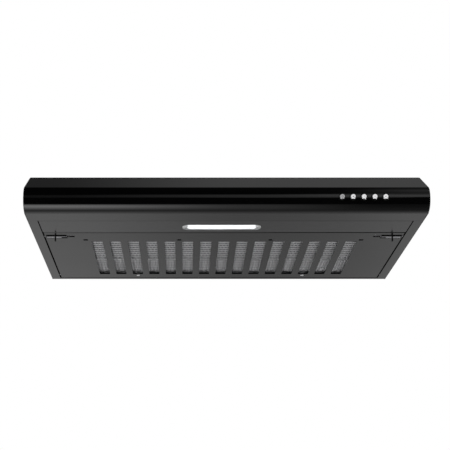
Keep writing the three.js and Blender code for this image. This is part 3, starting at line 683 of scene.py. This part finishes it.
def button_bezel(name, middle):
    """A thin black ring that is let into the nose round a cap."""
    inner, outer, front, back = 4.05, 5.3, -0.3, 0.9
    profile = [
        (outer, 0.02), (outer, front + 0.1), (outer - 0.3, front), (inner + 0.1, front),
        (inner, front + 0.1), (inner, back), (inner + 0.35, back), (inner + 0.35, 0.02),
    ]
    bm = bmesh.new()
    axes = Matrix.Translation((middle.x, NOSE_Y, middle.z)) @ LAID_ALONG_Y
    ring_round(bm, [(radius * MM, depth * MM) for radius, depth in profile], 40, axes)
    return mesh_piece(f"{name}_bezel", bm)


def button_cap(name, low, high):
    """A cap with a rolled edge and a shallow dish, on its stem, pushing towards +Y."""
    radius = 3.85 * MM
    length = high.y - low.y
    profile = [(0, DISH), (1.6 * MM, DISH), (2.7 * MM, DISH / 2), (3.4 * MM, 0.0)]
    profile += [
        (radius - 0.4 * MM * (1 - math.sin(a)), 0.4 * MM * (1 - math.cos(a)))
        for a in (0.5, 0.9, 1.25, math.pi / 2)
    ]
    profile += [(radius, 5.4 * MM), (5.2 * MM, 5.4 * MM), (5.2 * MM, 7.0 * MM)]
    profile += [(2.4 * MM, 7.0 * MM), (2.4 * MM, length), (0, length)]
    cap = turned_part(name, profile, 48)
    middle = (low + high) / 2
    cap.data.transform(Matrix.Translation((middle.x, low.y, middle.z)) @ LAID_ALONG_Y)
    smooth(cap, 40)
    return cap


DISH = 0.03 * MM
NOSE_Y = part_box("front_fascia")[0].y
bright = button_metal("polished_button", 0.98)
duller = button_metal("polished_button_lamp", 0.55)
mark_ink = moulding("button_mark", (0.3, 0.3, 0.31), 0.5)
bezel_plastic = moulding("bezel_moulding", grey(0.002), 0.7)
marks = {
    "button_light": ring_mark(1.5 * MM, 1.0 * MM),
    "button_off": ring_mark(0.9 * MM, 0.3 * MM),
    "button_low": bar_mark(1),
    "button_medium": bar_mark(2),
    "button_high": bar_mark(3),
}
for name, mark in marks.items():
    low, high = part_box(name)
    middle = (low + high) / 2
    cap = button_cap(f"{name}_cap", low, high)
    place_piece(cap, duller if name == "button_light" else bright, name, "bright_button", name)
    inlay = mesh_piece(f"{name}_mark", mark)
    inlay.data.transform(Matrix.Translation((middle.x, low.y + DISH, middle.z)))
    place_piece(inlay, mark_ink, name, "black_plastic")
    place_piece(button_bezel(name, middle), bezel_plastic, "canopy", "black_plastic")


# ---- The grease filter ----
# Layers of expanded aluminium mesh, crimped into shallow waves and held in a folded aluminium frame.
# The waves are deeper in front of the steel rod that crosses under the layers.

def aluminium(name, level, roughness):
    made, nodes, shader, place = surface(name, {"Metallic": 1.0})
    grain = nodes.noise(place, 700.0)
    film = nodes.noise(place, 25.0, 3.0)
    tone = nodes.mix(film, grey(level * 0.86, level * 0.87), grey(level * 1.08, level * 1.1))
    nodes.feed(shader.inputs["Base Color"], tone)
    nodes.feed(shader.inputs["Roughness"], roughness + 0.15 * grain)
    nodes.feed(shader.inputs["Normal"], nodes.relief(0.35, 0.1 * MM, grain))
    return made


def crimped_strands():
    """Bare aluminium strands, with a painted highlight on the upper side of each wave and painted shade
    on its lower side and behind the rod.
    """
    made, nodes, shader, place = surface("filter_strands", {"Metallic": 0.55})
    grain = nodes.noise(place, 700.0)
    ridge = nodes.add("ShaderNodeAttribute", {"attribute_name": "ridge"}, {}, "Fac")
    # The ridge value paints light and shade: bright on the upper folds, darker in the lower folds and
    # behind the rod.
    painted_light = ridge.between(-0.6, 0.2)
    tone = nodes.mix(0.15 * grain + 0.85 * painted_light, (0.09, 0.09, 0.095), (0.98, 0.98, 1.0))
    nodes.feed(shader.inputs["Base Color"], tone)
    nodes.feed(shader.inputs["Roughness"], 0.5 - 0.15 * painted_light)
    return made


WAVE_PITCH = 14 * MM
WAVE_AT_ROD = 0.75
ROD_BAND = 6 * MM
FLATTENED = 0.92
pad_low, pad_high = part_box("filter_pad")
rod_low, rod_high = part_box("filter_rod")
rod_middle = (rod_low + rod_high) / 2


def diamond_cells(nodes, long, wide, cell_long, cell_wide, strand):
    """Slit and stretched foil: a diamond of thin strand on every place of a grid."""
    columns = (long / cell_long).apply("FLOOR")
    rows = (wide / cell_wide).apply("FLOOR")
    grid = nodes.add(
        "GeometryNodeMeshGrid",
        {},
        {
            "Size X": cell_long * (columns - 1.0),
            "Size Y": cell_wide * (rows - 1.0),
            "Vertices X": columns,
            "Vertices Y": rows,
        },
    )
    ring = nodes.add("GeometryNodeCurvePrimitiveCircle", {}, {"Resolution": 4, "Radius": 0.5})
    scale = nodes.add("ShaderNodeCombineXYZ", {}, {"X": cell_long, "Y": cell_wide, "Z": 1.0})
    diamond = nodes.add("GeometryNodeTransform", {}, {"Geometry": ring, "Scale": scale})
    section = nodes.add(
        "GeometryNodeCurvePrimitiveQuadrilateral", {}, {"Width": strand, "Height": strand * 0.3}
    )
    swept = nodes.add(
        "GeometryNodeCurveToMesh", {}, {"Curve": diamond, "Profile Curve": section}
    )
    laid = nodes.add("GeometryNodeInstanceOnPoints", {}, {"Points": grid, "Instance": swept})
    return nodes.add("GeometryNodeRealizeInstances", {}, {"Geometry": laid})


def crimp(nodes, flat, wave, flat_from):
    """Waves across a flat layer, nearly pressed out behind the rod, and noted as its ridge, which drops
    behind the rod and paints light and shade on the strands.
    """
    spot = nodes.add("GeometryNodeInputPosition")
    behind = nodes.split(spot)[1] - flat_from
    pressed = (behind / ROD_BAND + 0.5).between(0.0, 1.0)
    fade = 1.0 - FLATTENED * pressed
    turn = behind * (2 * math.pi / WAVE_PITCH) + WAVE_AT_ROD
    drift = nodes.noise(spot, 22.0, 1.0)
    swing = (turn + 0.9 * (drift - 0.5)).apply("SINE") * (0.75 + 0.5 * drift)
    lift = nodes.add("ShaderNodeCombineXYZ", {}, {"X": 0.0, "Y": 0.0, "Z": wave * swing * fade})
    waved = nodes.add("GeometryNodeSetPosition", {}, {"Geometry": flat, "Offset": lift})
    # The stored ridge is the wave's swing, lowered behind the rod: it sets the painted light and shade
    # of the strands.
    return nodes.add(
        "GeometryNodeStoreNamedAttribute",
        {"data_type": "FLOAT", "domain": "POINT"},
        {"Geometry": waved, "Name": "ridge", "Value": swing * fade - 0.3 * (1.0 - fade)},
    )


def expanded_mesh(name, low, high, cell, strand, wave, material):
    """A crimped layer of diamond mesh that fills a rectangle, at its lowest corner's height."""
    middle = (low + high) / 2
    sizes = {
        "Long": high.x - low.x,
        "Wide": high.y - low.y,
        "Cell Long": cell[0],
        "Cell Wide": cell[1],
        "Strand": strand,
        "Wave": wave,
        "Flat From": rod_middle.y - middle.y,
    }
    tree = bpy.data.node_groups.new(name, "GeometryNodeTree")
    sockets = [
        tree.interface.new_socket(key, in_out="INPUT", socket_type="NodeSocketFloat")
        for key in sizes
    ]
    tree.interface.new_socket("Geometry", in_out="OUTPUT", socket_type="NodeSocketGeometry")
    nodes = Nodes(tree)
    entry = tree.nodes.new("NodeGroupInput")
    *cell_sizes, wave_height, flat_from = [
        Value(nodes, output) for output in entry.outputs[: len(sizes)]
    ]
    waved = crimp(nodes, diamond_cells(nodes, *cell_sizes), wave_height, flat_from)
    coated = nodes.add("GeometryNodeSetMaterial", {}, {"Geometry": waved, "Material": material})
    leave = tree.nodes.new("NodeGroupOutput")
    nodes.feed(leave.inputs[0], coated)

    made = bpy.data.objects.new(name, bpy.data.meshes.new(name))
    scene.collection.objects.link(made)
    step = made.modifiers.new("mesh", "NODES")
    step.node_group = tree
    for socket, size in zip(sockets, sizes.values()):
        step[socket.identifier] = size
    plain_mesh(made)
    made.data.transform(Matrix.Translation((middle.x, middle.y, low.z)))
    return made


strands = crimped_strands()
lower_layer = expanded_mesh(
    "filter_lower_layer", pad_low + Vector((0, 0, 1.5 * MM)), pad_high,
    (5.6 * MM, 3.2 * MM), 1.25 * MM, 1.3 * MM, strands,
)
place_piece(lower_layer, strands, "grille", "filter_aluminium", "filter_pad")
upper_layer = expanded_mesh(
    "filter_upper_layer", pad_low + Vector((0, 0, 3.4 * MM)), pad_high,
    (10 * MM, 5.2 * MM), 1.6 * MM, 1.0 * MM, strands,
)
place_piece(upper_layer, strands, "grille", "filter_aluminium", "filter_pad")


FOIL_STEPS = 200


def crimped_foil(name, low, high, wave, thickness):
    """A wavy sheet of fine foil between the two meshes, flatter behind the rod."""
    bm = bmesh.new()
    rows = []
    for i in range(FOIL_STEPS + 1):
        y = low.y + (high.y - low.y) * i / FOIL_STEPS
        offset = y - (low.y + high.y) / 2
        depth = wave * math.sin(2 * math.pi * offset / WAVE_PITCH + 1.1)
        if y > rod_middle.y:
            depth *= 0.25
        rows.append([bm.verts.new((x, y, low.z + depth)) for x in (low.x, high.x)])
    for one, two in zip(rows, rows[1:]):
        bm.faces.new([one[0], one[1], two[1], two[0]])
    foil = mesh_piece(name, bm)
    solid = foil.modifiers.new("thickness", "SOLIDIFY")
    solid.thickness = thickness
    solid.offset = 0.0
    return foil


foil = crimped_foil(
    "filter_foil", pad_low + Vector((0, 0, 2.1 * MM)), pad_high, 1.1 * MM, 0.2 * MM
)
foil_skin = aluminium("filter_foil_skin", 0.6, 0.4)
place_piece(foil, foil_skin, "grille", "filter_aluminium", "filter_pad")
ROD_PARTS = 8
rod_long = rod_high.x - rod_low.x
rod_line = [
    rod_middle + Vector((rod_long * (i / ROD_PARTS - 0.5), 0, 0)) for i in range(ROD_PARTS + 1)
]
rod = tube("filter_rod_wire", rod_line, (rod_high.z - rod_low.z) / 2, 16)
place_piece(rod, zinc, "grille", "zinc_steel", "filter_rod")
dress("filter_frame", aluminium("filter_frame_skin", 0.6, 0.34), 0.2 * MM)


# ---- The fan ----
# The motor hangs in the middle of the wheel. The wheel is one black moulding: a cup round the motor, a
# back plate, forward-curved blades and a bottom ring.

BLADES = 24
BLADE_STEPS = 7
BLADE_LEAN = 13


def fan_blade(bm, centre, turn, inner, outer, low, high):
    """Adds one forward-curved blade, thinner at its outer edge."""
    rows = []
    for i in range(BLADE_STEPS + 1):
        share = i / BLADE_STEPS
        around = turn + math.radians(BLADE_LEAN) * share ** 1.7
        spoke = Vector((math.cos(around), math.sin(around), 0))
        flank = Vector((-spoke.y, spoke.x, 0)) * 1.1 * MM * (1 - 0.35 * share) / 2
        spot = Vector((centre.x, centre.y, 0)) + spoke * (inner + (outer - inner) * share)
        sides = (spot - flank, spot + flank)
        rows.append([bm.verts.new((p.x, p.y, z)) for p in sides for z in (low, high)])
    for one, two in zip(rows, rows[1:]):
        for a, c in ((0, 1), (1, 3), (3, 2), (2, 0)):
            bm.faces.new([one[a], one[c], two[c], two[a]])
    bm.faces.new([rows[0][k] for k in (0, 1, 3, 2)])
    bm.faces.new([rows[-1][k] for k in (0, 2, 3, 1)])


def fan_wheel(low, high):
    centre = (low + high) / 2
    axes = Matrix.Translation((centre.x, centre.y, 0))
    outer = (high.x - low.x) / 2
    cup = 43.5 * MM
    top = high.z
    cup_floor = top - 32 * MM
    hub = 8 * MM
    bore = 3.3 * MM
    wall = 1.5 * MM
    bm = bmesh.new()
    ring_round(bm, [
        (bore, cup_floor - 4.5 * MM), (hub, cup_floor - 4.5 * MM), (hub, cup_floor),
        (cup - 2 * MM, cup_floor), (cup, cup_floor + 2 * MM), (cup, top - wall),
        (outer - wall, top - wall), (outer, top - wall / 2), (outer, top), (cup - wall, top),
        (cup - wall, cup_floor + wall + 1 * MM), (cup - wall - 1 * MM, cup_floor + wall),
        (bore, cup_floor + wall),
    ], 72, axes)
    ring_round(bm, [
        (outer - 2.5 * MM, low.z), (outer, low.z), (outer, low.z + 2 * MM),
        (outer - 2.5 * MM, low.z + 2 * MM),
    ], 72, axes)
    for k in range(BLADES):
        turn = 2 * math.pi * k / BLADES
        ends = (low.z + 0.6 * MM, top - wall / 2)
        fan_blade(bm, centre, turn, outer - 14 * MM, outer - 0.6 * MM, *ends)
    wheel = mesh_piece("fan_wheel", bm)
    smooth(wheel, 32)
    return wheel


wheel = fan_wheel(*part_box("impeller"))
place_piece(wheel, black_plastic, "impeller", "black_plastic", "impeller")
dress("motor_body", zinc_plate("motor_can", 0.5, 0.32), 0.4 * MM)


# ---- Wiring ----
# Round leads in a ribbed black sleeve, a white capacitor in its strap, the lamp's sealed driver and
# the screw block in the wiring box.

def sleeve():
    made, nodes, shader, place = surface("lead_sleeve", {"Metallic": 0.0})
    braid = nodes.add("ShaderNodeTexVoronoi", {}, {"Vector": place, "Scale": 900.0}, "Distance")
    tone = nodes.mix(braid, (0.02, 0.02, 0.022), (0.05, 0.05, 0.052))
    nodes.feed(shader.inputs["Base Color"], tone)
    nodes.feed(shader.inputs["Roughness"], 0.5 + 0.2 * braid)
    nodes.feed(shader.inputs["Normal"], nodes.relief(0.5, 0.2 * MM, braid))
    return made


def centreline(node):
    """The middle of each ring of a tube-shaped node, from end to end, found by walking its rings."""
    bm = bmesh.new()
    bm.from_mesh(frame["nodes"][node].data)
    bmesh.ops.remove_doubles(bm, verts=bm.verts, dist=SAME_SPOT)
    bmesh.ops.dissolve_limit(bm, angle_limit=0.02, verts=bm.verts, edges=bm.edges)
    cap = next(f for f in bm.faces if len(f.verts) == 6)
    ring = set(cap.verts)
    seen = set()
    line = []
    while ring:
        line.append(sum((v.co for v in ring), Vector()) / len(ring))
        seen |= ring
        beside = {e.other_vert(v) for v in ring for e in v.link_edges} - seen
        if len(beside) < len(ring):
            break
        near = sorted(beside, key=lambda v: (v.co - line[-1]).length)[: len(ring)]
        ring = set(near)
    bm.free()
    return line


lead_sleeve = sleeve()
for node, radius in (("motor_lead", 1.8), ("lamp_lead", 1.8), ("switch_lead", 2.2)):
    lead = tube(f"{node}_sleeved", centreline(node), radius * MM * 0.93, 16)
    place_piece(lead, lead_sleeve, "canopy", "wire_sleeve", node)
for node, edge in (("capacitor", 0.8), ("led_driver", 0.8), ("terminal_block", 0.3)):
    dress(node, white_plastic, edge * MM, 3)


# ---- Screws and rivets ----
# Pan-head screws hold the collar, the blower and the wiring box up to the top sheet; blind rivets join
# the top sheet to the hems of the sides and to the front.

def resting_points(node):
    """Middles of the separate faces at a node's top, one for each post that holds it up."""
    corners = [v.co.copy() for v in frame["nodes"][node].data.vertices]
    level = max(c.z for c in corners)
    groups = []
    for corner in (c for c in corners if abs(c.z - level) < 0.1 * MM):
        near = next((g for g in groups if (g[0] - corner).length < 16 * MM), None)
        if near is None:
            groups.append([corner])
        else:
            near.append(corner)
    return [sum(group, Vector()) / len(group) for group in groups]


collar_low, collar_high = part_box("duct_collar")
collar_middle = (collar_low + collar_high) / 2
collar_reach = (collar_high.x - collar_low.x) / 2 - 6 * MM
top_screws = []
for k in range(4):
    turn = math.pi / 4 + k * math.pi / 2
    x = collar_middle.x + collar_reach * math.cos(turn)
    y = collar_middle.y + collar_reach * math.sin(turn)
    top_screws.append(((x, y, 0.0), (0, 0, 1)))
box_low, box_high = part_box("terminal_box")
for x in (box_low.x + 9 * MM, box_high.x - 9 * MM):
    top_screws.append(((x, box_low.y + 8 * MM, 0.0), (0, 0, 1)))
driver_low, driver_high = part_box("led_driver")
for x in (driver_low.x + 6 * MM, driver_high.x - 6 * MM):
    top_screws.append(((x, (driver_low.y + driver_high.y) / 2, 0.0), (0, 0, 1)))
for post in resting_points("blower_housing"):
    if abs(post.y - collar_middle.y) > 70 * MM:
        top_screws.append(((post.x, post.y, 0.0), (0, 0, 1)))
pan_head = screw_head("pan_head", 3.6 * MM, 1.9 * MM)
screws = placed_copies("top_screws", pan_head, top_screws, zinc)
place_piece(screws, zinc, "canopy", "zinc_steel")
lid_low, lid_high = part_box("terminal_lid")
lid_screws = []
for x in (lid_low.x + 8 * MM, lid_high.x - 8 * MM):
    lid_screws.append(((x, (lid_low.y + lid_high.y) / 2, lid_low.z), (0, 0, -1)))
screws = placed_copies("lid_screws", pan_head, lid_screws, zinc)
place_piece(screws, zinc, "canopy", "zinc_steel")
bpy.data.objects.remove(pan_head)


def rivet_head(name):
    profile = [(0, -0.4 * MM), (2.4 * MM, -0.4 * MM), (2.4 * MM, 0.1 * MM), (2.1 * MM, 0.5 * MM)]
    profile += [(1.4 * MM, 0.75 * MM), (1.1 * MM, 0.8 * MM), (0.9 * MM, 0.45 * MM), (0, 0.4 * MM)]
    head = turned_part(name, profile, 16)
    smooth(head)
    return head


shell_low, shell_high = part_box("top_shell")
rivets = []
for k in range(5):
    y = shell_low.y + 45 * MM + k * (shell_high.y - shell_low.y - 75 * MM) / 4
    for x in (shell_low.x + 6 * MM, shell_high.x - 6 * MM):
        rivets.append(((x, y, 0.0), (0, 0, 1)))
    x = shell_low.x + 60 * MM + k * (shell_high.x - shell_low.x - 120 * MM) / 4
    rivets.append(((x, shell_low.y + 10 * MM, 0.0), (0, 0, 1)))
rivet = rivet_head("rivet")
top_rivets = placed_copies("top_rivets", rivet, rivets, shell_paint)
place_piece(top_rivets, shell_paint, "canopy", "painted_steel")

guide_rivets = []
for side in ("left", "right"):
    low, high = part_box(f"latch_guide_{side}")
    for share in (0.2, 0.8):
        x = low.x + (high.x - low.x) * share
        guide_rivets.append(((x, high.y - 3.2 * MM, low.z + 1.0 * MM), (0, 0, 1)))
small_rivets = placed_copies("guide_rivets", rivet, guide_rivets, zinc)
place_piece(small_rivets, zinc, "grille", "zinc_steel")
bracket_rivets = []
for side, way in (("left", 1), ("right", -1)):
    low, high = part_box(f"hinge_bracket_{side}")
    wall = low.x + 1 * MM if way > 0 else high.x - 1 * MM
    for z in (high.z - 5 * MM, high.z - 17 * MM):
        bracket_rivets.append(((wall, (low.y + high.y) / 2, z), (way, 0, 0)))
small_rivets = placed_copies("bracket_rivets", rivet, bracket_rivets, zinc)
place_piece(small_rivets, zinc, "canopy", "zinc_steel")
bpy.data.objects.remove(rivet)


# ---- The closing lines ----
low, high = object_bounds()
